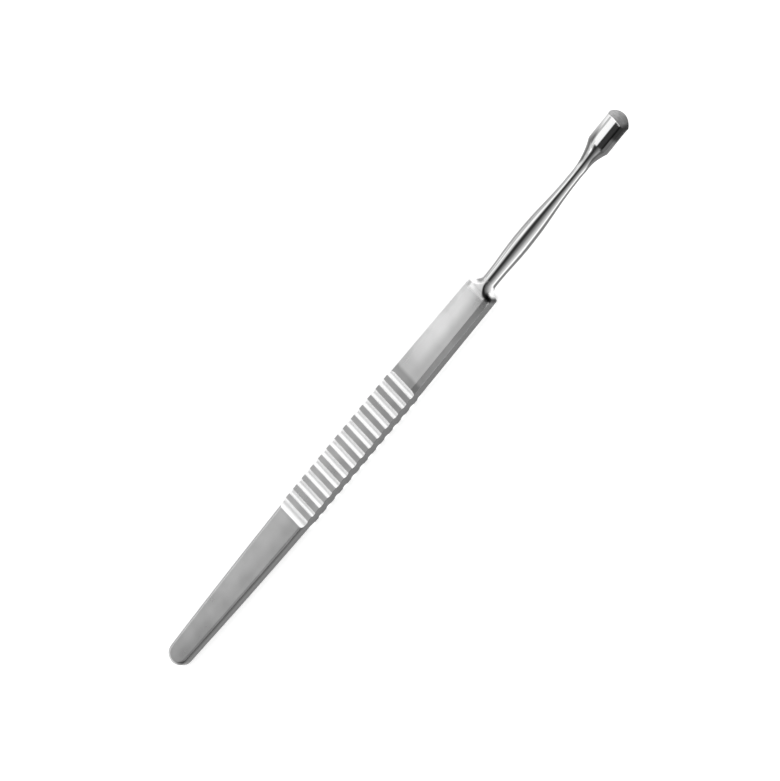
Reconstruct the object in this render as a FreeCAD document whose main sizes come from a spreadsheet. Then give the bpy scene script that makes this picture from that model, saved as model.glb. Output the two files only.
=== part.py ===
import FreeCAD, Part
import math
import os
import Sketcher
from FreeCAD import Placement, Rotation, Vector

# Dermal curette, one piece of stainless steel, lying on the underside of its flat handle.
# +X runs from the butt end to the cutting tip, +Z is up, and the origin is below the middle of its length.
# The handle is a flat bar with a ribbed grip. It is turned down at a coved shoulder to a slim shaft,
# which swells, thins to a neck and flares into a half-round scoop with its hollow facing down.

# Sizes in millimetres, and angles in degrees. Places along the handle are measured from the butt end,
# and places along the shaft from the shoulder's corners, along the shaft's own axis.
SIZES = {
    "handle_length": 95.2,
    "handle_thickness": 3.0,
    "butt_radius": 2.3,
    "butt_fall": 0.25,
    "grip_start_width": 6.55,
    "grip_end_width": 6.75,
    "shoulder_width": 6.3,
    "side_crown_place": 60.0,
    "lower_edge_round": 0.6,
    "upper_bevel_width": 1.1,
    "upper_bevel_height": 0.35,
    "lead_groove_place": 38.17,
    "lead_groove_width": 2.07,
    "second_groove_place": 40.82,
    "second_groove_width": 1.14,
    "groove_place": 43.3,
    "groove_pitch": 2.54,
    "groove_count": 12,
    "groove_width": 1.5,
    "groove_depth": 0.4,
    "cove_length": 2.8,
    "shaft_tilt": 2.0,
    "shaft_root_length": 1.2,
    "shaft_root_taper": 2.0,
    "shaft_radius": 1.5,
    "swell_place": 12.6,
    "swell_radius": 1.83,
    "neck_place": 29.5,
    "neck_radius": 1.05,
    "flare_length": 7.5,
    "scoop_radius": 2.61,
    "scoop_length": 7.9,
    "rim_height": 0.55,
    "rim_run_in": 5.6,
    "lip_run": 3.4,
    "lip_drop": 0.4,
    "nose_radius": 3.4,
    "nose_rake": 27.0,
    "scoop_wall": 0.42,
    "bowl_setback": 4.9,
    "bowl_run_in": 4.0,
}

# The shoulder's sections: how far along the cove each lies, and how much of the step in width is left there.
SHOULDER_SECTIONS = (
    (0.0, 1.0),
    (0.08, 0.96),
    (0.2, 0.76),
    (0.36, 0.43),
    (0.55, 0.19),
    (0.78, 0.05),
    (1.0, 0.0),
)

SHEET = "Sizes"
CLEAR = 1.0  # how far a cutting outline reaches past the metal
TOUCH = 1e-3  # how near a point lies to a face that it is taken to be on
ROUNDNESS = 0.98  # how nearly round the shoulder is where the shaft begins
TUCK = 0.985  # the shoulder's end against the shaft's radius, so that it runs in under the shaft's skin
BEVEL_FLATNESS = 4.0  # how far inside a bevel its arc's centre lies, in widths of the bevel


class Size:
    """A length with its value now and its formula over the sheet's names."""

    def __init__(self, value, formula):
        self.value = value
        self.formula = formula

    def __add__(self, other):
        other = as_size(other)
        return Size(self.value + other.value, f"({self.formula} + {other.formula})")

    def __sub__(self, other):
        other = as_size(other)
        return Size(self.value - other.value, f"({self.formula} - {other.formula})")

    def __mul__(self, other):
        other = as_size(other)
        return Size(self.value * other.value, f"({self.formula} * {other.formula})")

    def __truediv__(self, other):
        other = as_size(other)
        return Size(self.value / other.value, f"({self.formula} / {other.formula})")

    def __neg__(self):
        return Size(-self.value, f"(-{self.formula})")


def as_size(number):
    """Returns a bare number as a size, and a size as it is."""
    return number if isinstance(number, Size) else Size(number, str(number))


def size(name):
    """Returns the size of that name in the sheet."""
    return Size(SIZES[name], f"{SHEET}.{name}")


def square(length):
    """Returns a length times itself."""
    return length * length


def tangent(angle):
    """Returns the tangent of an angle given in degrees."""
    return Size(math.tan(math.radians(angle.value)), f"tan({angle.formula} * 1 deg)")


def cosine(angle):
    """Returns the cosine of an angle given in degrees."""
    return Size(math.cos(math.radians(angle.value)), f"cos({angle.formula} * 1 deg)")


def grip_start():
    """Returns the place where the lower flat meets the grip, in the middle of the first groove."""
    return size("lead_groove_place")


def grip_end():
    """Returns the place where the grip meets the upper flat, in the middle of the last groove."""
    return size("groove_place") + size("groove_pitch") * (size("groove_count") - 1)


def scoop_tip():
    """Returns the place of the cutting lip along the shaft."""
    return size("neck_place") + size("flare_length") + size("scoop_length")


def add_sheet(doc):
    """Writes the sizes into a sheet, each under its own name."""
    sheet = doc.addObject("Spreadsheet::Sheet", SHEET)
    for row, (name, value) in enumerate(SIZES.items(), start=1):
        sheet.set(f"A{row}", name)
        sheet.set(f"B{row}", str(value))
        sheet.setAlias(f"B{row}", name)
    doc.recompute()


def origin_plane(body, role):
    """Returns one of the body's own origin planes."""
    return next(plane for plane in body.Origin.OriginFeatures if plane.Role == role)


class Outline:
    """A closed outline in a sketch, with every corner tied to the sheet by formulas.

    Corners are given in order. An arc is fixed by its ends and by one place of its centre.
    """

    def __init__(self, body, name, role):
        self.sketch = body.newObject("Sketcher::SketchObject", name)
        self.sketch.AttachmentSupport = [(origin_plane(body, role), "")]
        self.sketch.MapMode = "FlatFace"
        self.corners = []
        self.edges = []

    def on_shaft(self):
        """Moves the sketch to the shoulder and turns its first axis along the tilted shaft."""
        tilt = size("shaft_tilt")
        along = size("handle_length")
        height = size("handle_thickness") / 2
        tilted = Rotation(Vector(0, 0, 1), tilt.value)
        self.sketch.AttachmentOffset = Placement(Vector(along.value, height.value, 0), tilted)
        self.sketch.setExpression("AttachmentOffset.Base.x", along.formula)
        self.sketch.setExpression("AttachmentOffset.Base.y", height.formula)
        self.sketch.setExpression("AttachmentOffset.Rotation.Angle", f"{tilt.formula} * 1 deg")
        return self

    def across(self, place, height):
        """Moves a cross-section to its place along the handle, with its first axis at that height."""
        self.sketch.AttachmentOffset = Placement(Vector(0, height.value, place.value), Rotation())
        self.sketch.setExpression("AttachmentOffset.Base.y", height.formula)
        self.sketch.setExpression("AttachmentOffset.Base.z", place.formula)
        return self

    def start(self, x, y):
        """Sets the first corner."""
        self.corners.append((as_size(x), as_size(y)))
        return self

    def line(self, x, y):
        """Adds a straight edge to the next corner."""
        return self.edge(x, y, None, None)

    def arc(self, x, y, centre_x=None, centre_y=None):
        """Adds an arc to the next corner, whose centre lies at that x or at that y."""
        return self.edge(x, y, centre_x, centre_y)

    def edge(self, x, y, centre_x, centre_y):
        """Notes an edge and the corner where it ends."""
        self.corners.append((as_size(x), as_size(y)))
        self.edges.append((centre_x, centre_y))
        return self

    def close(self, centre_x=None):
        """Draws the outline back to its first corner, by a line or an arc, and ties it to the sheet."""
        self.corners.append(self.corners[0])
        self.edges.append((centre_x, None))
        ends = [self.draw(number) for number in range(len(self.edges))]
        for number, (geo, first, _) in enumerate(ends):
            before, _, last = ends[number - 1]
            self.sketch.addConstraint(Sketcher.Constraint("Coincident", before, last, geo, first))
            self.place(geo, first, *self.corners[number])
        return self.sketch

    def draw(self, number):
        """Adds one edge's geometry, and returns its index and the codes of its two ends."""
        start = vector(*self.corners[number])
        end = vector(*self.corners[number + 1])
        centre_x, centre_y = self.edges[number]
        if centre_x is None and centre_y is None:
            return self.sketch.addGeometry(Part.LineSegment(start, end), False), 1, 2
        centre = arc_centre(start, end, centre_x, centre_y)
        first = math.atan2(start.y - centre.y, start.x - centre.x)
        last = math.atan2(end.y - centre.y, end.x - centre.x)
        anticlockwise = (start - centre).cross(end - centre).z > 0
        circle = Part.Circle(centre, Vector(0, 0, 1), (start - centre).Length)
        angles = (first, last) if anticlockwise else (last, first)
        geo = self.sketch.addGeometry(Part.ArcOfCircle(circle, *angles), False)
        if centre_x is not None:
            self.place(geo, 3, centre_x, None)
        if centre_y is not None:
            self.place(geo, 3, None, centre_y)
        return (geo, 1, 2) if anticlockwise else (geo, 2, 1)

    def place(self, geo, point, x, y):
        """Ties a point's distances from the sketch's origin to formulas."""
        for kind, axis, distance in (("DistanceX", -2, x), ("DistanceY", -1, y)):
            if distance is None:
                continue
            distance = as_size(distance)
            if distance.value == 0:
                self.sketch.addConstraint(Sketcher.Constraint("PointOnObject", geo, point, axis))
                continue
            constraint = Sketcher.Constraint(kind, -1, 1, geo, point, distance.value)
            number = self.sketch.addConstraint(constraint)
            self.sketch.setExpression(f"Constraints[{number}]", distance.formula)

    def circle(self, x, y, radius):
        """Adds a circle to the sketch."""
        geo = self.sketch.addGeometry(Part.Circle(vector(x, y), Vector(0, 0, 1), radius.value), False)
        self.place(geo, 3, x, y)
        number = self.sketch.addConstraint(Sketcher.Constraint("Radius", geo, radius.value))
        self.sketch.setExpression(f"Constraints[{number}]", radius.formula)

    def axis(self, x):
        """Adds an upright construction line at that x, to turn an outline about."""
        x = as_size(x)
        line = Part.LineSegment(Vector(x.value, 0, 0), Vector(x.value, 1, 0))
        geo = self.sketch.addGeometry(line, True)
        self.place(geo, 1, x, 0)
        self.place(geo, 2, x, 1)


def vector(x, y):
    """Returns a corner's place now."""
    return Vector(x.value, y.value, 0)


def arc_centre(start, end, centre_x, centre_y):
    """Finds the centre that is as far from one end as from the other, at the given x or y."""
    middle = (start + end) / 2
    chord = end - start
    if centre_x is not None:
        x = as_size(centre_x).value
        return Vector(x, middle.y - (x - middle.x) * chord.x / chord.y, 0)
    y = as_size(centre_y).value
    return Vector(middle.x - (y - middle.y) * chord.y / chord.x, y, 0)


def add_feature(body, kind, name, sketch):
    """Adds a sketched feature to the body."""
    feature = body.newObject(f"PartDesign::{kind}", name)
    feature.Profile = sketch
    return feature


def pad(body, name, sketch):
    """Raises a plan outline to the handle's thickness."""
    feature = add_feature(body, "Pad", name, sketch)
    feature.setExpression("Length", size("handle_thickness").formula)
    return feature


def mirror(body, name, feature):
    """Repeats a feature on the other side of the plane through the handle's middle."""
    mirrored = body.newObject("PartDesign::Mirrored", name)
    mirrored.Originals = [feature]
    mirrored.MirrorPlane = (origin_plane(body, "XZ_Plane"), [""])
    body.Tip = mirrored
    return mirrored


def cut_through(body, name, sketch):
    """Cuts a side outline right through, to both sides of its plane."""
    feature = add_feature(body, "Pocket", name, sketch)
    feature.Type = "ThroughAll"
    feature.Midplane = True
    return feature


def turn(body, kind, name, sketch, axis="H_Axis", angle=360):
    """Turns an outline about one of its own sketch's axes, to both sides of its plane."""
    feature = add_feature(body, kind, name, sketch)
    feature.ReferenceAxis = (sketch, [axis])
    feature.Angle = angle
    feature.Midplane = angle < 360
    return feature


def is_lower_flat_rim(point):
    """Says whether a point is on the lower flat's upper or lower rim, but not where the grip carries on."""
    fall = SIZES["butt_fall"] * (1 - point.x / grip_start().value)
    height = min(abs(point.z - fall), abs(point.z - SIZES["handle_thickness"] + fall))
    at_grip = point.x > grip_start().value - TOUCH and abs(point.y) < SIZES["grip_start_width"] / 2 - TOUCH
    return height < TOUCH and not at_grip


def round_edges(body, name, radius, test):
    """Rounds those edges of the body so far for which the test holds all along."""
    body.Document.recompute()
    base = body.Tip
    picked = []
    for number, edge in enumerate(base.Shape.Edges, start=1):
        if all(test(point) for point in edge.discretize(5)):
            picked.append(f"Edge{number}")
    feature = body.newObject("PartDesign::Fillet", name)
    feature.Base = (base, picked)
    feature.setExpression("Radius", radius.formula)


def cut_taper(body, name, face, outwards):
    """Cuts one face of the lower flat to a slope, from full height at the grip to its fall at the butt.

    The face is a height, and outwards is 1 where the metal lies below it and -1 where it lies above.
    """
    end = grip_start()
    fall = size("butt_fall") * (end + CLEAR) / end
    clear = face + as_size(CLEAR) * outwards
    outline = Outline(body, f"{name}_cutter", "XZ_Plane")
    outline.start(end, face).line(-as_size(CLEAR), face - fall * outwards)
    outline.line(-as_size(CLEAR), clear).line(end, clear)
    cut_through(body, name, outline.close())


def add_lower_flat(body):
    """The flat behind the grip: round at the butt end, a little thinner there and rounded along its edges."""
    end = grip_start()
    butt = size("butt_radius")
    outline = Outline(body, "lower_flat_plan", "XY_Plane")
    outline.start(0, 0).arc(butt, butt, centre_y=0)
    outline.arc(end, size("grip_start_width") / 2, centre_x=size("side_crown_place")).line(end, 0)
    mirror(body, "lower_flat", pad(body, "lower_flat_half", outline.close()))
    cut_taper(body, "upper_taper", size("handle_thickness"), 1)
    cut_taper(body, "under_taper", as_size(0), -1)
    round_edges(body, "lower_flat_edges", size("lower_edge_round"), is_lower_flat_rim)


def add_grip(body):
    """The square-edged stretch of the handle that takes the grooves."""
    start = grip_start()
    end = grip_end()
    outline = Outline(body, "grip_plan", "XY_Plane")
    outline.start(start, 0).line(start, size("grip_start_width") / 2)
    outline.line(end, size("grip_end_width") / 2).line(end, 0)
    mirror(body, "grip", pad(body, "grip_half", outline.close()))


def bevelled_section(body, name, place, width):
    """The upper flat's section: the bar's rectangle with its four corners bevelled."""
    half = width / 2
    flat = half - size("upper_bevel_width")
    top = size("handle_thickness") / 2
    side = top - size("upper_bevel_height")
    outline = Outline(body, name, "YZ_Plane").across(place, top)
    outline.start(-flat, -top).line(flat, -top).line(half, -side).line(half, side)
    outline.line(flat, top).line(-flat, top).line(-half, side).line(-half, -side)
    return outline.close()


def loft(body, name, sections, ruled):
    """Runs the metal through sections, straight between them or in one smooth curve."""
    feature = add_feature(body, "AdditiveLoft", name, sections[0])
    feature.Sections = sections[1:]
    feature.Ruled = ruled
    return feature


def add_upper_flat(body):
    """The plain flat between the grip and the shoulder, bevelled along its four long edges."""
    first = bevelled_section(body, "upper_flat_start", grip_end(), size("grip_end_width"))
    last = bevelled_section(body, "upper_flat_end", size("handle_length"), size("shoulder_width"))
    loft(body, "upper_flat", [first, last], ruled=True)


def rounded_section(body, name, place, height, half_width, half_height, flat, side, flatness):
    """A rectangle with arcs at its corners, centred at that height.

    Flat and side are the halves of its straight edges. The arcs are quarter circles at no flatness,
    and turn into bevels as their centres move further in.
    """
    centre = flat - flatness
    outline = Outline(body, name, "YZ_Plane").across(place, height)
    outline.start(-flat, -half_height).line(flat, -half_height).arc(half_width, -side, centre_x=centre)
    outline.line(half_width, side).arc(flat, half_height, centre_x=centre)
    outline.line(-flat, half_height).arc(-half_width, side, centre_x=-centre)
    outline.line(-half_width, -side)
    return outline.close(centre_x=-centre)


def add_shoulder(body):
    """The coved shoulder: the bar draws in to the shaft, and its edges roll over until it is round."""
    length = size("cove_length")
    rise = length * tangent(size("shaft_tilt"))
    middle = size("handle_thickness") / 2
    radius = size("shaft_radius") * TUCK
    narrowing = size("shoulder_width") / 2 - radius
    thinning = middle - radius
    rolled = radius * ROUNDNESS
    sections = []
    for number, (along, left) in enumerate(SHOULDER_SECTIONS):
        place = size("handle_length") + length * along
        half_width = radius + narrowing * left
        half_height = radius + thinning * left
        flat = half_width - rolled + (rolled - size("upper_bevel_width")) * left
        side = half_height - rolled + (rolled - size("upper_bevel_height")) * left
        flatness = size("upper_bevel_width") * BEVEL_FLATNESS * left
        sections.append(rounded_section(body, f"shoulder_section_{number}", place, middle + rise * along,
                                        half_width, half_height, flat, side, flatness))
    loft(body, "shoulder", sections, ruled=False)


def groove_radius(width):
    """The radius of a round-bottomed groove of that width and of the grip's depth."""
    depth = size("groove_depth")
    return (square(width) / 4 + square(depth)) / (depth * 2)


def cut_groove(body, name):
    """Cuts one cross groove into the top and the underside, and returns its sketch and its feature."""
    place = size(f"{name}_place")
    radius = groove_radius(size(f"{name}_width"))
    rise = radius - size("groove_depth")
    outline = Outline(body, f"{name}_cutters", "XZ_Plane")
    outline.circle(place, size("handle_thickness") + rise, radius)
    outline.circle(place, -rise, radius)
    return outline.sketch, cut_through(body, name, outline.sketch)


def cut_grip(body):
    """The cross grooves of the grip, on both faces: a wide one, a narrow one and then an even row."""
    cut_groove(body, "lead_groove")
    cut_groove(body, "second_groove")
    cutters, first = cut_groove(body, "groove")
    row = body.newObject("PartDesign::LinearPattern", "grip_grooves")
    row.Originals = [first]
    row.Direction = (cutters, ["H_Axis"])
    row.setExpression("Occurrences", size("groove_count").formula)
    row.setExpression("Length", (size("groove_pitch") * (size("groove_count") - 1)).formula)
    body.Tip = row


def add_shaft_and_scoop(body):
    """The turned shaft: out of the shoulder, over the swell, down to the neck and out to the scoop."""
    start = size("cove_length")
    swell = size("swell_place")
    neck = size("neck_place")
    flare_end = neck + size("flare_length")
    end = scoop_tip() + CLEAR
    root = size("shaft_root_length")
    root_radius = size("shaft_radius") - root * tangent(size("shaft_root_taper"))
    outline = Outline(body, "shaft_outline", "XZ_Plane").on_shaft()
    outline.start(start - root, 0).line(start - root, root_radius).line(start, size("shaft_radius"))
    ease(outline, start, size("shaft_radius"), swell, size("swell_radius"))
    ease(outline, swell, size("swell_radius"), neck, size("neck_radius"))
    outline.arc(flare_end, size("scoop_radius"), centre_x=neck)
    outline.line(end, size("scoop_radius")).line(end, 0)
    turn(body, "Revolution", "shaft", outline.close())


def ease(outline, start, start_radius, end, end_radius):
    """Joins two radii by two equal arcs that are level where they begin and end."""
    outline.arc((start + end) / 2, (start_radius + end_radius) / 2, centre_x=start)
    outline.arc(end, end_radius, centre_x=end)


def cut_underside(body):
    """Grinds the scoop's underside away to its rim, which dips towards the cutting lip."""
    neck = size("neck_place")
    rim = size("rim_height")
    level = neck + size("rim_run_in")
    tip = scoop_tip()
    dip = tip - size("lip_run")
    below = -(size("scoop_radius") + CLEAR)
    outline = Outline(body, "underside_outline", "XZ_Plane").on_shaft()
    outline.start(neck, below).line(neck, -size("neck_radius"))
    outline.arc(level, rim, centre_x=level).line(dip, rim)
    outline.arc(tip + CLEAR, rim - lip_fall(CLEAR), centre_x=dip).line(tip + CLEAR, below)
    cut_through(body, "underside", outline.close())


def lip_fall(beyond):
    """How far the rim has fallen at a place that far past the lip."""
    run = size("lip_run")
    return size("lip_drop") * square(run + beyond) / square(run)


def nose_outline(body, inset):
    """The region beyond the raked nose, or beyond the bowl's front wall when set in by that much."""
    tip = scoop_tip() - inset
    lip = size("rim_height") - size("lip_drop")
    above = size("scoop_radius") + CLEAR
    below = -size("scoop_radius")
    slope = tangent(size("nose_rake"))
    upper = tip - slope * (above - lip)
    lower = tip + slope * (lip - below)
    outline = Outline(body, "nose_outline", "XZ_Plane").on_shaft()
    outline.axis(scoop_tip() - size("nose_radius"))
    outline.start(upper, above).line(lower, below).line(lower + CLEAR, below).line(lower + CLEAR, above)
    return outline.close()


def cut_nose(body, inset):
    """Rounds the scoop's end in plan and rakes it back, about an upright axis."""
    turn(body, "Groove", "nose", nose_outline(body, inset), axis="Axis0", angle=180)


def make_bowl_core(doc):
    """The hollow of the scoop as a solid: a round core with a domed back and a raked front."""
    core = doc.addObject("PartDesign::Body", "bowl_core")
    radius = size("scoop_radius") - size("scoop_wall")
    back = size("neck_place") + size("bowl_setback")
    full = back + size("bowl_run_in")
    front = scoop_tip() + CLEAR
    outline = Outline(core, "core_outline", "XZ_Plane").on_shaft()
    outline.start(back, 0).arc(full, radius, centre_x=full).line(front, radius).line(front, 0)
    turn(core, "Revolution", "core", outline.close())
    cut_nose(core, size("scoop_wall"))
    return core


def hollow_scoop(body, core):
    """Takes the bowl out of the scoop."""
    bowl = body.newObject("PartDesign::Boolean", "bowl")
    bowl.Type = "Cut"
    bowl.setObjects([core])


def make_curette(doc):
    """Builds the whole instrument, and sets it over the origin."""
    core = make_bowl_core(doc)
    body = doc.addObject("PartDesign::Body", "curette")
    body.Label = "curette"
    add_lower_flat(body)
    add_grip(body)
    add_upper_flat(body)
    cut_grip(body)
    add_shoulder(body)
    add_shaft_and_scoop(body)
    cut_underside(body)
    cut_nose(body, as_size(0))
    hollow_scoop(body, core)
    half = (size("handle_length") + scoop_tip() * cosine(size("shaft_tilt"))) / 2
    body.setExpression("Placement.Base.x", (-half).formula)
    doc.recompute()
    return body


def check(doc, body):
    """Stops if any object failed to build or the piece is not one valid solid."""
    for item in doc.Objects:
        if {"Invalid", "Error"} & set(item.State):
            raise RuntimeError(f"{item.Name} failed: {item.State} {item.getStatusString()}")
    shape = body.Shape
    if shape.isNull() or not shape.isValid() or len(shape.Solids) != 1:
        raise RuntimeError(f"{body.Label} is not one valid solid")


def main():
    """Makes the document and writes the piece."""
    doc = FreeCAD.newDocument("dermal_curette")
    add_sheet(doc)
    body = make_curette(doc)
    check(doc, body)
    os.makedirs("parts", exist_ok=True)
    body.Shape.exportStep(os.path.join("parts", f"{body.Label}.step"))


main()
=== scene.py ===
"""Dresses and lights the dermal curette: one piece of steel, satin at the handle, polished beyond.

All sizes are in metres, in the part's own frame: +X runs to the cutting lip, +Y to the far side
and +Z up. Grey levels run from 0, black, to 1, white.
"""

import logging
import math
from dataclasses import dataclass
from enum import Enum

import bpy
from mathutils import Matrix, Vector


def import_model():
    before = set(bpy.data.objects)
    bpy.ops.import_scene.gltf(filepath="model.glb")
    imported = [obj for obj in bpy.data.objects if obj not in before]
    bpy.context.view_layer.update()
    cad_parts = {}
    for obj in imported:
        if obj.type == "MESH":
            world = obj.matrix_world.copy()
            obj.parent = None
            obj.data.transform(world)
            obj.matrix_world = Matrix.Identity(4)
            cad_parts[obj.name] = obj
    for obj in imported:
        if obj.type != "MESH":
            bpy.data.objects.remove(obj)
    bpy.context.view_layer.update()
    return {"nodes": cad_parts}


LOG = logging.getLogger("curette")
PHOTO_WIDTH = 780
PHOTO_HEIGHT = 781

# The grip along X, from its first groove to its last.
GRIP = (-0.0329, 0.0021)
# The part of a noise's values that its patterns use.
NOISE_REACH = (0.3, 0.7)

Socket = bpy.types.NodeSocket
Range = tuple[float, float]
Triple = tuple[float, float, float]
Stops = tuple[tuple[float, float], ...]


class Coordinate(Enum):
    """The coordinates that a shader pattern is laid out in."""

    OBJECT = "Object"
    NORMAL = "Normal"


class Mixed(Enum):
    """What a mix node mixes: its data type, its two inputs and its output."""

    NUMBERS = ("FLOAT", 2, 3, 0)
    VECTORS = ("VECTOR", 4, 5, 1)


class NodeTree:
    """A short way to write a shader's nodes: a method adds what it names and returns its output."""

    def __init__(self, tree: bpy.types.NodeTree) -> None:
        """Starts from the emptied node tree of a material or of the world."""
        self.tree = tree
        self.tree.nodes.clear()

    def add(self, kind: str, **settings: object) -> bpy.types.Node:
        """Adds a node.

        Args:
            kind: The node's type name in Blender.
            settings: Properties to set on the node.

        Returns:
            The new node.
        """
        node = self.tree.nodes.new(kind)
        for name, value in settings.items():
            setattr(node, name, value)
        return node

    def feed(self, socket: Socket, value: object) -> None:
        """Links an output to a socket, or sets the socket to a constant.

        Args:
            socket: The input to feed.
            value: Another node's output, or the constant.
        """
        if isinstance(value, Socket):
            self.tree.links.new(value, socket)
        else:
            socket.default_value = value

    def show(self, shader: Socket, kind: str = "ShaderNodeOutputMaterial") -> None:
        """Makes a shader the surface of the material, or of the world by its own kind of output."""
        self.feed(self.add(kind).inputs["Surface"], shader)

    def coordinate(self, which: Coordinate) -> Socket:
        """Returns one of the texture coordinates."""
        return self.add("ShaderNodeTexCoord").outputs[which.value]

    def split(self, vector: Socket) -> tuple[Socket, ...]:
        """Splits a vector.

        Args:
            vector: The vector.

        Returns:
            Its X, Y and Z.
        """
        node = self.add("ShaderNodeSeparateXYZ")
        self.feed(node.inputs[0], vector)
        return tuple(node.outputs)

    def math(self, operation: str, first: object, second: object = 0.0) -> Socket:
        """Works one operation on two numbers.

        Args:
            operation: The operation's name in Blender.
            first: The first number.
            second: The second number, where the operation takes one.

        Returns:
            The result.
        """
        node = self.add("ShaderNodeMath", operation=operation)
        self.feed(node.inputs[0], first)
        self.feed(node.inputs[1], second)
        return node.outputs[0]

    def vector(self, operation: str, first: object,
               second: object = (0.0, 0.0, 0.0)) -> Socket:
        """Works one operation on two vectors, or on a vector and the number that scales it.

        Args:
            operation: The operation's name in Blender.
            first: The first vector.
            second: The second vector or the scale, where the operation takes one.

        Returns:
            The result, which is a number for a dot product.
        """
        node = self.add("ShaderNodeVectorMath", operation=operation)
        self.feed(node.inputs[0], first)
        self.feed(node.inputs["Scale"] if operation == "SCALE" else node.inputs[1], second)
        return node.outputs["Value" if operation == "DOT_PRODUCT" else "Vector"]

    def ramp(self, value: object, low: object, high: object,
             to_low: object = 0.0, to_high: object = 1.0) -> Socket:
        """Maps a number smoothly from one range to another, and holds it beyond the ends.

        Args:
            value: The number to map.
            low: Where the range begins.
            high: Where the range ends.
            to_low: The result at its beginning.
            to_high: The result at its end.

        Returns:
            The mapped number.
        """
        node = self.add("ShaderNodeMapRange", interpolation_type="SMOOTHSTEP")
        numbers = (value, low, high, to_low, to_high)
        for socket, number in zip(node.inputs[:5], numbers, strict=True):
            self.feed(socket, number)
        return node.outputs[0]

    def table(self, value: Socket, low: float, high: float, stops: Stops) -> Socket:
        """Looks a number up in a table, and holds it beyond the ends.

        Args:
            value: The number to look up.
            low: Where the table may begin.
            high: Where it may end.
            stops: Places and their results from 0 to 1, with straight runs between them.

        Returns:
            The result.
        """
        node = self.add("ShaderNodeValToRGB")
        node.color_ramp.interpolation = "LINEAR"
        elements = node.color_ramp.elements
        elements.remove(elements[-1])
        for index, (place, level) in enumerate(stops):
            element = elements[0] if index == 0 else elements.new(1.0)
            element.position = (place - low) / (high - low)
            element.color = (level, level, level, 1.0)
        share = self.math("DIVIDE", self.math("SUBTRACT", value, low), high - low)
        self.feed(node.inputs[0], share)
        return self.split(node.outputs[0])[0]

    def noise(self, vector: Socket, scale: float, detail: float = 3.0) -> Socket:
        """Adds smooth noise.

        Args:
            vector: The coordinates.
            scale: How many features there are in a metre.
            detail: How many finer layers are added.

        Returns:
            The noise, from 0 to 1.
        """
        node = self.add("ShaderNodeTexNoise")
        self.feed(node.inputs["Vector"], vector)
        node.inputs["Scale"].default_value = scale
        node.inputs["Detail"].default_value = detail
        return node.outputs["Fac"]

    def blend(self, share: object, first: object, second: object,
              what: Mixed = Mixed.NUMBERS) -> Socket:
        """Mixes two numbers or vectors.

        Args:
            share: How much of the second there is, from 0 to 1.
            first: What is there at a share of 0.
            second: What is there at a share of 1.
            what: Whether they are numbers or vectors.

        Returns:
            The mix.
        """
        kind, first_input, second_input, output = what.value
        node = self.add("ShaderNodeMix", data_type=kind)
        self.feed(node.inputs[0], share)
        self.feed(node.inputs[first_input], first)
        self.feed(node.inputs[second_input], second)
        return node.outputs[output]

    def between(self, share: object, first: tuple, second: tuple) -> tuple[Socket, ...]:
        """Mixes two ranges, end by end."""
        return tuple(self.blend(share, *ends) for ends in zip(first, second, strict=True))

    def grey(self, value: object) -> Socket:
        """Makes a neutral colour.

        Args:
            value: Its grey level.

        Returns:
            The colour.
        """
        node = self.add("ShaderNodeCombineColor")
        for socket in node.inputs[:3]:
            self.feed(socket, value)
        return node.outputs[0]

    def glow(self, strength: Socket) -> Socket:
        """Makes a surface that shines white by itself.

        Args:
            strength: Its grey level.

        Returns:
            The shader.
        """
        node = self.add("ShaderNodeEmission")
        self.feed(node.inputs["Strength"], strength)
        return node.outputs[0]


def new_material(name: str) -> tuple[bpy.types.Material, NodeTree]:
    """Makes a material that has no nodes yet.

    Args:
        name: The material's name.

    Returns:
        The material and its nodes.
    """
    material = bpy.data.materials.new(name)
    material.use_nodes = True
    return material, NodeTree(material.node_tree)


@dataclass(frozen=True)
class TurnedForm:
    """The shaft and the scoop's back as they were turned, all round one axis.

    Their normals are worked out from the place on the axis, so reflections run smoothly along
    them. A slope says how fast the radius grows there. A table holds nothing below 0, so it holds
    the slopes with the level added.
    """

    start: Triple = (0.025164, 0.0, 0.0015)
    tilt: float = 2.0
    length: float = 0.045
    slopes: Stops = (
        (0.0028, 0.0), (0.0077, 0.0673), (0.0126, 0.0), (0.02105, -0.0921),
        (0.0295, 0.0), (0.0333, 0.206), (0.0359, 0.35), (0.0381, 0.0))
    level: float = 0.5
    agreement: float = 0.96

    def normal(self, nodes: NodeTree, place: Socket, packed: Socket) -> Socket:
        """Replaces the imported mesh's normals where they agree with the turned form.

        Args:
            nodes: The material's nodes.
            place: The object's coordinates.
            packed: The mesh's own normal.

        Returns:
            The surface normal.
        """
        turn = math.radians(self.tilt)
        axis = (math.cos(turn), 0.0, math.sin(turn))
        offset = nodes.vector("SUBTRACT", place, self.start)
        along = nodes.vector("DOT_PRODUCT", offset, axis)
        on_axis = nodes.vector("SCALE", axis, along)
        radial = nodes.vector("NORMALIZE", nodes.vector("SUBTRACT", offset, on_axis))
        stops = tuple((spot, self.level + slope) for spot, slope in self.slopes)
        held = nodes.table(along, 0.0, self.length, stops)
        lean = nodes.vector("SCALE", axis, nodes.math("SUBTRACT", held, self.level))
        turned = nodes.vector("NORMALIZE", nodes.vector("SUBTRACT", radial, lean))
        alike = nodes.vector("DOT_PRODUCT", turned, packed)
        on_form = nodes.math("MULTIPLY", nodes.math("GREATER_THAN", alike, self.agreement),
                             nodes.math("GREATER_THAN", along, self.slopes[0][0]))
        return nodes.blend(on_form, packed, turned, Mixed.VECTORS)


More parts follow.
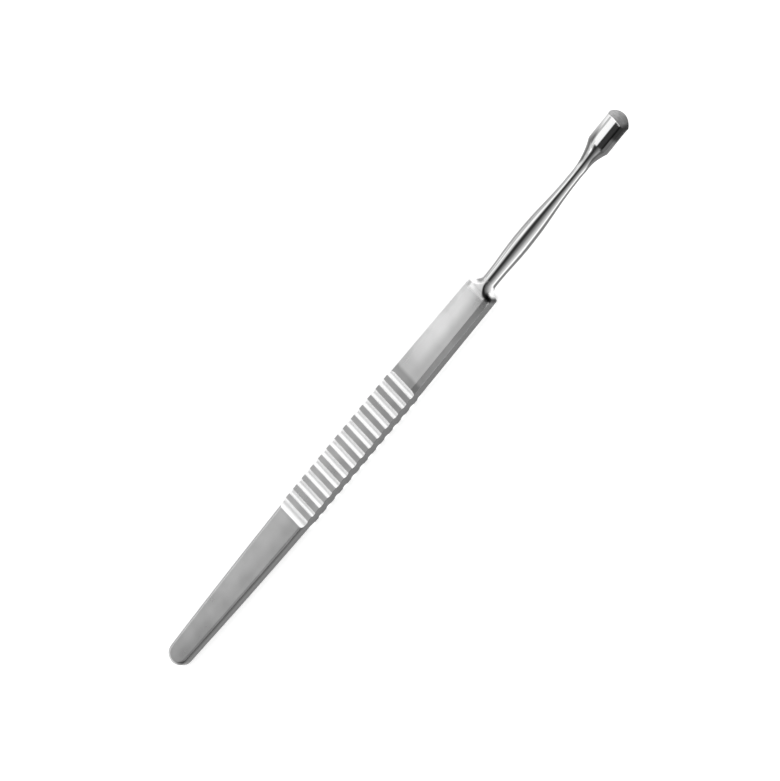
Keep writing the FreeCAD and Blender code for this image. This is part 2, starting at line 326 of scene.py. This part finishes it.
@dataclass(frozen=True)
class BrushedGrain:
    """Fine brushing marks along the satin steel, over edges that are a little rounded.

    The edges' radius grows from the handle's to the shaft's, where the cove ends.
    """

    cove_end: Range = (0.0233, 0.0243)
    edge_radii: Range = (0.00008, 0.0006)
    edge_samples: int = 4
    stretch: Triple = (0.06, 1.0, 1.0)
    scale: float = 3500.0
    detail: float = 1.0
    depth: float = 0.000004
    strength: float = 0.35
    shaft: TurnedForm = TurnedForm()

    def normal(self, nodes: NodeTree, place: Socket, polished: Socket) -> Socket:
        """Lays the marks over the softened edges.

        Args:
            nodes: The material's nodes.
            place: The object's coordinates.
            polished: 1 where the steel is polished.

        Returns:
            The surface normal.
        """
        edge = nodes.add("ShaderNodeBevel", samples=self.edge_samples)
        radius = nodes.ramp(nodes.split(place)[0], *self.cove_end, *self.edge_radii)
        nodes.feed(edge.inputs["Radius"], radius)
        stretched = nodes.vector("MULTIPLY", place, self.stretch)
        marks = nodes.add("ShaderNodeBump")
        marks.inputs["Distance"].default_value = self.depth
        nodes.feed(marks.inputs["Strength"], nodes.blend(polished, self.strength, 0.0))
        nodes.feed(marks.inputs["Height"], nodes.noise(stretched, self.scale, self.detail))
        nodes.feed(marks.inputs["Normal"], self.shaft.normal(nodes, place, edge.outputs[0]))
        return marks.outputs[0]


@dataclass(frozen=True)
class MilledGrooves:
    """The grip's cross grooves, which lie lower than the lands. Their floors' near-white grey is a
    painted highlight.
    """

    middle_height: float = 0.0015
    sunk: Range = (0.00003, 0.0001)
    level_within: float = 0.2
    # painted highlight: the groove floors' near-white grey
    tone: float = 0.97
    roughness: float = 0.45

    def found(self, nodes: NodeTree, place: Socket, sideways: Socket) -> Socket:
        """Finds what is sunk and level between the ends of the grip.

        Args:
            nodes: The material's nodes.
            place: The object's coordinates.
            sideways: How far the surface faces sideways, from -1 to 1.

        Returns:
            1 in a groove.
        """
        along, _, height = nodes.split(place)
        above = nodes.math("ABSOLUTE", nodes.math("SUBTRACT", height, self.middle_height))
        sunk = nodes.ramp(nodes.math("SUBTRACT", self.middle_height, above), *self.sunk)
        inside = nodes.math("MULTIPLY", nodes.math("GREATER_THAN", along, GRIP[0]),
                            nodes.math("LESS_THAN", along, GRIP[1]))
        level = nodes.math("LESS_THAN", nodes.math("ABSOLUTE", sideways), self.level_within)
        return nodes.math("MULTIPLY", nodes.math("MULTIPLY", sunk, inside), level)


@dataclass(frozen=True)
class GroundNose:
    """The raked nose facet: ground matt with grinding marks. It darkens towards its near side, a
    painted shade, and most at its near corner, a painted shadow.
    """

    start: float = 0.0655
    facing: Range = (0.35, 0.45)
    roughness: float = 0.50
    reach: Range = (-0.0022, 0.0022)
    # painted shade: the facet's grey darkens towards its near side
    tones: Range = (0.16, 0.42)
    corner: Range = (-0.0023, -0.0013)
    # painted shadow at the facet's near corner
    corner_shadow_tone: float = 0.25
    mark_stretch: Triple = (1.0, 0.3, 1.0)
    mark_scale: float = 2600.0
    mark_tones: Range = (0.75, 1.1)

    def found(self, nodes: NodeTree, along: Socket, forward: Socket) -> Socket:
        """Returns 1 where the surface faces forward beyond the nose's start."""
        beyond = nodes.math("GREATER_THAN", along, self.start)
        return nodes.math("MULTIPLY", nodes.ramp(forward, *self.facing), beyond)

    def level(self, nodes: NodeTree, place: Socket) -> Socket:
        """Lays the marks over the facet's grey, with its painted shade and painted corner shadow.

        Args:
            nodes: The material's nodes.
            place: The object's coordinates.

        Returns:
            The facet's grey level.
        """
        across = nodes.split(place)[1]
        facet = nodes.ramp(across, *self.reach, *self.tones)
        corner = nodes.ramp(across, *self.corner, self.corner_shadow_tone, 1.0)
        noise = nodes.noise(nodes.vector("MULTIPLY", place, self.mark_stretch), self.mark_scale)
        marks = nodes.ramp(noise, *NOISE_REACH, *self.mark_tones)
        return nodes.math("MULTIPLY", nodes.math("MULTIPLY", facet, corner), marks)


@dataclass(frozen=True)
class FacesWithPaintedReflection:
    """The instrument's faces: satin from the butt over the grip. Their grey changes along the
    handle and rises to nearly white beyond the grip, a painted reflection.

    Their near half is painted darker, a painted shade, except where the steel is polished.
    """

    # painted reflection: the faces' grey along the handle
    butt: Range = (-0.070, -0.055)
    butt_tones: Range = (0.62, 0.73)
    land_tones: Range = (0.69, 0.47)
    flat_start: float = 0.0030
    flat_tone: float = 0.74
    change: float = 0.001
    # painted highlight: the faces brighten to nearly white beyond the grip
    painted_highlight_reach: Range = (0.0030, 0.0150)
    painted_highlight_tone: float = 0.97
    # painted shade: the satin faces' near half is darker
    painted_near_shade: Range = (-0.0015, 0.0009)
    painted_near_shade_tones: Range = (0.86, 0.68)

    def level(self, nodes: NodeTree, place: Socket, polished: Socket) -> Socket:
        """Works out the faces' grey from the place on them, with its painted reflection and painted
        shade.

        Args:
            nodes: The material's nodes.
            place: The object's coordinates.
            polished: 1 where the steel is polished.

        Returns:
            The grey level.
        """
        along, across, _ = nodes.split(place)
        lower_flat = nodes.ramp(along, *self.butt, *self.butt_tones)
        lands = nodes.ramp(along, *GRIP, *self.land_tones)
        satin = nodes.ramp(along, GRIP[0] - self.change, GRIP[0], lower_flat, lands)
        flat_end = self.flat_start + self.change
        satin = nodes.ramp(along, self.flat_start, flat_end, satin, self.flat_tone)
        # share of the painted highlight beyond the grip
        painted_highlight = nodes.ramp(along, *self.painted_highlight_reach)
        # painted shade on the satin faces' near half
        painted_near_shade = nodes.ramp(across, *self.painted_near_shade, nodes.blend(painted_highlight, *self.painted_near_shade_tones), 1.0)
        return nodes.math("MULTIPLY", nodes.blend(painted_highlight, satin, self.painted_highlight_tone),
                          nodes.blend(polished, painted_near_shade, 1.0))


@dataclass(frozen=True)
class PaintedSideShade:
    """The instrument's sides, which are darker than its faces: painted shade.

    A pair named for a place says how far the surface faces sideways, from -1 at the near side to
    1 at the far side, where the flank begins there and where it is full.
    """

    flare: Range = (0.0560, 0.0585)
    scoop_start: float = 0.0600
    scoop_reach: Range = (0.0612, 0.0675)
    far_handle: Range = (0.35, 0.60)
    far_flare: Range = (-0.05, 0.35)
    far_scoop: Range = (0.45, 0.68)
    # painted shade on the far side at the handle, the flare and the scoop
    far_shade_tones: Triple = (0.25, 0.12, 0.50)
    near_handle: Range = (-0.35, -0.68)
    near_shaft: Range = (-0.86, -0.96)
    near_scoop: Range = (-0.52, -0.66)
    # painted shade on the near side
    near_shade_tone: float = 0.145
    rim_shadow: Range = (0.0646, 0.0658)
    # painted shadow: the near side turns nearly black beside the scoop's rim
    rim_shadow_tone: float = 0.035

    def far(self, nodes: NodeTree, along: Socket, sideways: Socket, face: Socket) -> Socket:
        """Darkens the far side with painted shade.

        Args:
            nodes: The material's nodes.
            along: The place from butt to lip.
            sideways: How far the surface faces sideways, from -1 to 1.
            face: The faces' grey level.

        Returns:
            The grey level with the far flank.
        """
        flare = nodes.ramp(along, *self.flare)
        scoop = nodes.ramp(along, *self.scoop_reach)
        handle_tone, flare_tone, scoop_tone = self.far_shade_tones
        tone = nodes.blend(flare, handle_tone, nodes.blend(scoop, flare_tone, scoop_tone))
        beyond = nodes.between(scoop, self.far_flare, self.far_scoop)
        turned = nodes.between(flare, self.far_handle, beyond)
        return nodes.blend(nodes.ramp(sideways, *turned), face, tone)

    def near(self, nodes: NodeTree, along: Socket, sideways: Socket, polished: Socket,
             face: Socket) -> Socket:
        """Darkens the near side with painted shade, most of all beside the scoop's rim with a
        painted shadow.

        Args:
            nodes: The material's nodes.
            along: The place from butt to lip.
            sideways: How far the surface faces sideways, from -1 to 1.
            polished: 1 where the steel is polished.
            face: The grey level so far.

        Returns:
            The grey level with the near flank.
        """
        on_scoop = nodes.ramp(along, self.flare[0], self.scoop_start)
        tone = nodes.ramp(along, *self.rim_shadow, self.near_shade_tone, self.rim_shadow_tone)
        beyond = nodes.between(on_scoop, self.near_shaft, self.near_scoop)
        turned = nodes.between(polished, self.near_handle, beyond)
        return nodes.blend(nodes.ramp(sideways, *turned), face, tone)


@dataclass(frozen=True)
class PaintedCoveReflection:
    """A painted reflection: the dark line in the foot of the cove, where the shaft's own dark line
    bends away to the near side.
    """

    foot: float = 0.0253
    run: float = 0.0019
    bend: float = 0.0016
    fade: Range = (0.0002, 0.0008)
    near_side: Range = (-0.0003, 0.0001)
    # painted reflection: the line's near-black grey
    tone: float = 0.035

    def found(self, nodes: NodeTree, place: Socket) -> Socket:
        """Finds the line by how far a place is from its bend, along the shaft.

        Args:
            nodes: The material's nodes.
            place: The object's coordinates.

        Returns:
            1 on the line.
        """
        along, across, _ = nodes.split(place)
        bend = nodes.math("ADD", nodes.math("DIVIDE", across, self.bend), 1.0)
        bend = nodes.math("POWER", nodes.math("MAXIMUM", bend, 0.0), 2.0)
        line = nodes.math("ADD", nodes.math("MULTIPLY", bend, self.run), self.foot)
        away = nodes.math("ABSOLUTE", nodes.math("SUBTRACT", along, line))
        return nodes.math("MULTIPLY", nodes.ramp(away, *self.fade, 1.0, 0.0),
                          nodes.ramp(across, *self.near_side, 1.0, 0.0))


@dataclass(frozen=True)
class SteelFinish:
    """Stainless steel: satin at the handle, polished on the shaft and scoop, ground at the nose.

    Faint clouds vary the satin's gloss and the steel's grey. Its grey also carries painted shade,
    painted highlights and painted reflections.
    """

    polish: Range = (0.0239, 0.0247)
    satin_roughness: Range = (0.27, 0.33)
    polished_roughness: float = 0.09
    cloud_scale: float = 230.0
    cloud_tones: Range = (0.92, 0.98)
    faces: FacesWithPaintedReflection = FacesWithPaintedReflection()
    painted_side_shade: PaintedSideShade = PaintedSideShade()
    cove: PaintedCoveReflection = PaintedCoveReflection()
    grooves: MilledGrooves = MilledGrooves()
    nose: GroundNose = GroundNose()
    grain: BrushedGrain = BrushedGrain()

    def material(self) -> bpy.types.Material:
        """Makes the steel as one material, whose finish changes with the place on it.

        Returns:
            The material.
        """
        steel, nodes = new_material("surgical_steel")
        place = nodes.coordinate(Coordinate.OBJECT)
        along = nodes.split(place)[0]
        forward, sideways, _ = nodes.split(nodes.coordinate(Coordinate.NORMAL))
        polished = nodes.ramp(along, *self.polish)
        groove = self.grooves.found(nodes, place, sideways)
        ground = self.nose.found(nodes, along, forward)
        cloud = nodes.noise(place, self.cloud_scale)

        roughness = nodes.ramp(cloud, *NOISE_REACH, *self.satin_roughness)
        roughness = nodes.blend(groove, roughness, self.grooves.roughness)
        roughness = nodes.blend(polished, roughness, self.polished_roughness)
        roughness = nodes.blend(ground, roughness, self.nose.roughness)

        # painted reflection and painted shade on the faces
        level = self.faces.level(nodes, place, polished)
        # painted shade on the far side
        level = self.painted_side_shade.far(nodes, along, sideways, level)
        # painted shade on the near side and painted shadow beside the scoop's rim
        level = self.painted_side_shade.near(nodes, along, sideways, polished, level)
        # painted reflection: the dark line in the cove
        level = nodes.blend(self.cove.found(nodes, place), level, self.cove.tone)
        # painted highlight in the groove floors
        level = nodes.blend(groove, level, self.grooves.tone)
        clouds = nodes.ramp(cloud, *NOISE_REACH, nodes.blend(polished, *self.cloud_tones), 1.0)
        level = nodes.math("MULTIPLY", level, clouds)
        # the nose facet's grey, with its painted shade and painted corner shadow
        level = nodes.blend(ground, level, self.nose.level(nodes, place))

        shader = nodes.add("ShaderNodeBsdfPrincipled")
        shader.inputs["Metallic"].default_value = 1.0
        nodes.feed(shader.inputs["Base Color"], nodes.grey(level))
        nodes.feed(shader.inputs["Roughness"], roughness)
        nodes.feed(shader.inputs["Normal"], self.grain.normal(nodes, place, polished))
        nodes.show(shader.outputs[0])
        return steel


@dataclass
class Curette:
    """The instrument itself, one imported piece."""

    node: bpy.types.Object
    finish: SteelFinish

    def dress(self) -> None:
        """Gives the piece its steel."""
        self.node.material_slots[0].material = self.finish.material()
        LOG.info("%s: dressed in %s", self.node.name, self.node.material_slots[0].material.name)


@dataclass
class Viewpoint:
    """The camera, placed where the photograph was taken from.

    The direction points from the part to the camera. The slope and the middle say how the
    instrument lies in the picture, in degrees above level and in pixels from the upper left corner.
    """

    toward: Vector = Vector((0.31, -0.365, 0.877))
    target: Vector = Vector((0.0, 0.0, 0.0015))
    distance: float = 6.0
    pixels_per_metre: float = 5345.0
    slope: float = 50.27
    middle: Range = (400.7, 389.1)
    clip_start: float = 0.01

    def axes(self) -> tuple[Vector, Vector, Vector]:
        """Turns the picture so that the instrument lies at its slope.

        Returns:
            The picture's directions to the right, up and out towards the camera.
        """
        out = self.toward.normalized()
        along = Vector((1.0, 0.0, 0.0))
        along = (along - along.dot(out) * out).normalized()
        beside = out.cross(along)
        turn = math.radians(self.slope)
        right = math.cos(turn) * along - math.sin(turn) * beside
        up = math.sin(turn) * along + math.cos(turn) * beside
        return right, up, out

    def build(self) -> bpy.types.Object:
        """Adds the camera and makes it the scene's own.

        Returns:
            The camera's object.
        """
        right, up, out = self.axes()
        aside = (self.middle[0] - PHOTO_WIDTH / 2) / self.pixels_per_metre
        above = (PHOTO_HEIGHT / 2 - self.middle[1]) / self.pixels_per_metre
        aim = self.target - aside * right - above * up
        data = bpy.data.cameras.new("camera")
        data.sensor_fit = "HORIZONTAL"
        data.lens = data.sensor_width * self.pixels_per_metre * self.distance / PHOTO_WIDTH
        data.clip_start = self.clip_start
        camera = bpy.data.objects.new("camera", data)
        camera.matrix_world = (Matrix.Translation(aim + out * self.distance)
                               @ Matrix((right, up, out)).transposed().to_4x4())
        bpy.context.scene.collection.objects.link(camera)
        bpy.context.scene.camera = camera
        LOG.info("camera: lens %.0f mm", data.lens)
        return camera


def build_piece(name: str, corners: list[Triple], faces: list[tuple[int, ...]],
                material: bpy.types.Material) -> bpy.types.Object:
    """Makes a piece of the stage from its corners and faces.

    Args:
        name: The piece's name.
        corners: Its corners.
        faces: Each face's corners, by their place in the list.
        material: What it is made of.

    Returns:
        The piece, linked to the scene.
    """
    mesh = bpy.data.meshes.new(name)
    mesh.from_pydata(corners, [], faces)
    mesh.materials.append(material)
    piece = bpy.data.objects.new(name, mesh)
    bpy.context.scene.collection.objects.link(piece)
    return piece


def hide_from_view(piece: bpy.types.Object) -> None:
    """Leaves a piece of the stage only in what reflects it.

    Args:
        piece: The piece to hide.
    """
    piece.visible_camera = False
    piece.visible_diffuse = False
    piece.visible_shadow = False


@dataclass
class Sheet:
    """A level sheet of the stage, such as the floor or a flag overhead.

    Low and high are two opposite corners: the one with the lowest X and Y and the one with the
    highest.
    """

    name: str
    low: Range
    high: Range
    height: float
    in_view: bool

    def build(self, material: bpy.types.Material) -> bpy.types.Object:
        """Makes the sheet. One that is out of view shows only in what reflects it.

        Args:
            material: What it is made of.

        Returns:
            The sheet's object.
        """
        (left, near), (right, far) = self.low, self.high
        outline = ((left, near), (right, near), (right, far), (left, far))
        corners = [(*corner, self.height) for corner in outline]
        sheet = build_piece(self.name, corners, [(0, 1, 2, 3)], material)
        if not self.in_view:
            hide_from_view(sheet)
        LOG.info("stage: %s", self.name)
        return sheet


@dataclass(frozen=True)
class PaleFloor:
    """The white table top. What the camera and the steel see of it is lifted to white."""

    tone: float = 0.80
    lift: float = 0.45

    def material(self) -> bpy.types.Material:
        """Makes the floor's material.

        Returns:
            The material.
        """
        paper, nodes = new_material("white_table")
        seen = nodes.add("ShaderNodeLightPath")
        direct = nodes.math("MAXIMUM", seen.outputs["Is Camera Ray"], seen.outputs["Is Glossy Ray"])
        matt = nodes.add("ShaderNodeBsdfDiffuse")
        matt.inputs["Color"].default_value = (self.tone, self.tone, self.tone, 1.0)
        both = nodes.add("ShaderNodeAddShader")
        nodes.feed(both.inputs[0], matt.outputs[0])
        nodes.feed(both.inputs[1], nodes.glow(nodes.math("MULTIPLY", direct, self.lift)))
        nodes.show(both.outputs[0])
        return paper


@dataclass(frozen=True)
class Tent:
    """The white tent round the table."""

    level: float = 1.0

    def build(self) -> None:
        """Sets the world to the tent."""
        world = bpy.data.worlds.new("tent")
        bpy.context.scene.world = world
        world.use_nodes = True
        nodes = NodeTree(world.node_tree)
        back = nodes.add("ShaderNodeBackground")
        back.inputs["Color"].default_value = (self.level, self.level, self.level, 1.0)
        nodes.show(back.outputs[0], "ShaderNodeOutputWorld")
        LOG.info("world: white tent")


@dataclass(frozen=True)
class SoftFlag:
    """The finish of the long dark flag overhead, whose soft edges fade into the white tent.

    It lies over the instrument, along it. Its far edge fades slowly over the handle and quickly
    past the shoulder, so the upper flat shines. Its near half is darkest towards the butt, and
    both its ends glow a little brighter than the tent.
    """

    near_fade: Range = (-0.45, -0.05)
    far_start: float = 0.01
    far_end_at_handle: float = 0.38
    far_end_past_shoulder: float = 0.12
    change: Range = (-0.150, -0.115)
    far_grey: Range = (0.42, 0.62)
    far_level: float = 0.50
    darkest: float = 0.32
    butt_dark: Range = (-0.40, -0.30)
    butt_level: float = 0.03
    butt_end: Range = (-0.55, -0.42)
    butt_end_across: Range = (0.0, 0.1)
    lip_end: Range = (-0.02, 0.06)
    end_level: float = 1.3

    def material(self) -> bpy.types.Material:
        """Makes the flag's material.

        Returns:
            The material.
        """
        cloth, nodes = new_material("soft_flag")
        along, across, _ = nodes.split(nodes.coordinate(Coordinate.OBJECT))
        far_end = nodes.ramp(along, *self.change, self.far_end_at_handle,
                             self.far_end_past_shoulder)
        edges = nodes.math("ADD", nodes.ramp(across, *self.near_fade, 1.0, 0.0),
                           nodes.ramp(across, self.far_start, far_end))
        edges = nodes.math("MULTIPLY", edges,
                           nodes.ramp(across, *self.far_grey, 1.0, self.far_level))
        level = nodes.math("MAXIMUM", edges, self.darkest)
        near_butt = nodes.math("MULTIPLY", nodes.ramp(along, *self.butt_dark, 1.0, 0.0),
                               nodes.math("LESS_THAN", across, 0.0))
        level = nodes.blend(near_butt, level, self.butt_level)
        butt_end = nodes.math("MULTIPLY", nodes.ramp(along, *self.butt_end, self.end_level, 0.0),
                              nodes.ramp(across, *self.butt_end_across))
        lip_end = nodes.ramp(along, *self.lip_end, 0.0, self.end_level)
        ends = nodes.math("MAXIMUM", butt_end, lip_end)
        nodes.show(nodes.glow(nodes.math("MAXIMUM", level, ends)))
        return cloth


@dataclass(frozen=True)
class ArcCard:
    """A card bent round the shaft and the scoop, close to them: the dark line in their polish.

    Angles are in degrees from straight up, positive towards +Y. Beside the shaft the card pales
    towards its near edge. Beside the scoop it stays black, but is white overhead.
    """

    radius: float = 0.02
    axis_height: float = 0.0025
    reach: Range = (0.0180, 0.064)
    angles: Range = (-90.0, 25.0)
    steps: int = 24
    shaft: Stops = (
        (-90.0, 0.85), (-45.0, 0.25), (-15.0, 0.03), (4.0, 0.025), (13.0, 0.15), (25.0, 0.80))
    scoop: Stops = (
        (-90.0, 0.95), (-64.0, 0.95), (-58.0, 0.03), (-9.0, 0.03), (-3.0, 0.95), (25.0, 1.0))
    change: Range = (0.0490, 0.0525)

    def material(self) -> bpy.types.Material:
        """Makes the card's material.

        Returns:
            The material.
        """
        card, nodes = new_material("arc_card")
        along, across, height = nodes.split(nodes.coordinate(Coordinate.OBJECT))
        height = nodes.math("SUBTRACT", height, self.axis_height)
        angle = nodes.math("DEGREES", nodes.math("ARCTAN2", across, height))
        by_shaft = nodes.table(angle, *self.angles, self.shaft)
        by_scoop = nodes.table(angle, *self.angles, self.scoop)
        nodes.show(nodes.glow(nodes.blend(nodes.ramp(along, *self.change), by_shaft, by_scoop)))
        return card

    def build(self) -> bpy.types.Object:
        """Makes the card, out of the camera's view and no lower than the table.

        Returns:
            The card's object.
        """
        low, high = self.angles
        corners = []
        for step in range(self.steps + 1):
            turn = math.radians(low + (high - low) * step / self.steps)
            across = self.radius * math.sin(turn)
            height = max(self.axis_height + self.radius * math.cos(turn), 0.0)
            corners += [(along, across, height) for along in self.reach]
        faces = [(first, first + 1, first + 3, first + 2) for first in range(0, 2 * self.steps, 2)]
        card = build_piece("arc_card", corners, faces, self.material())
        hide_from_view(card)
        LOG.info("stage: arc_card")
        return card


def main() -> None:
    """Builds the dressed part and its stage."""
    logging.basicConfig(level=logging.INFO, format="%(name)s: %(message)s")
    bpy.context.scene.view_settings.view_transform = "Standard"
    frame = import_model()
    Curette(frame["nodes"]["curette"], SteelFinish()).dress()
    floor = Sheet("floor", low=(-3.0, -3.0), high=(3.0, 3.0), height=0.0, in_view=True)
    floor.build(PaleFloor().material())
    flag = Sheet("soft_flag", low=(-1.40, -1.20), high=(0.70, 1.40), height=0.4, in_view=False)
    flag.build(SoftFlag().material())
    ArcCard().build()
    Tent().build()
    Viewpoint().build()


if __name__ == "__main__":
    main()
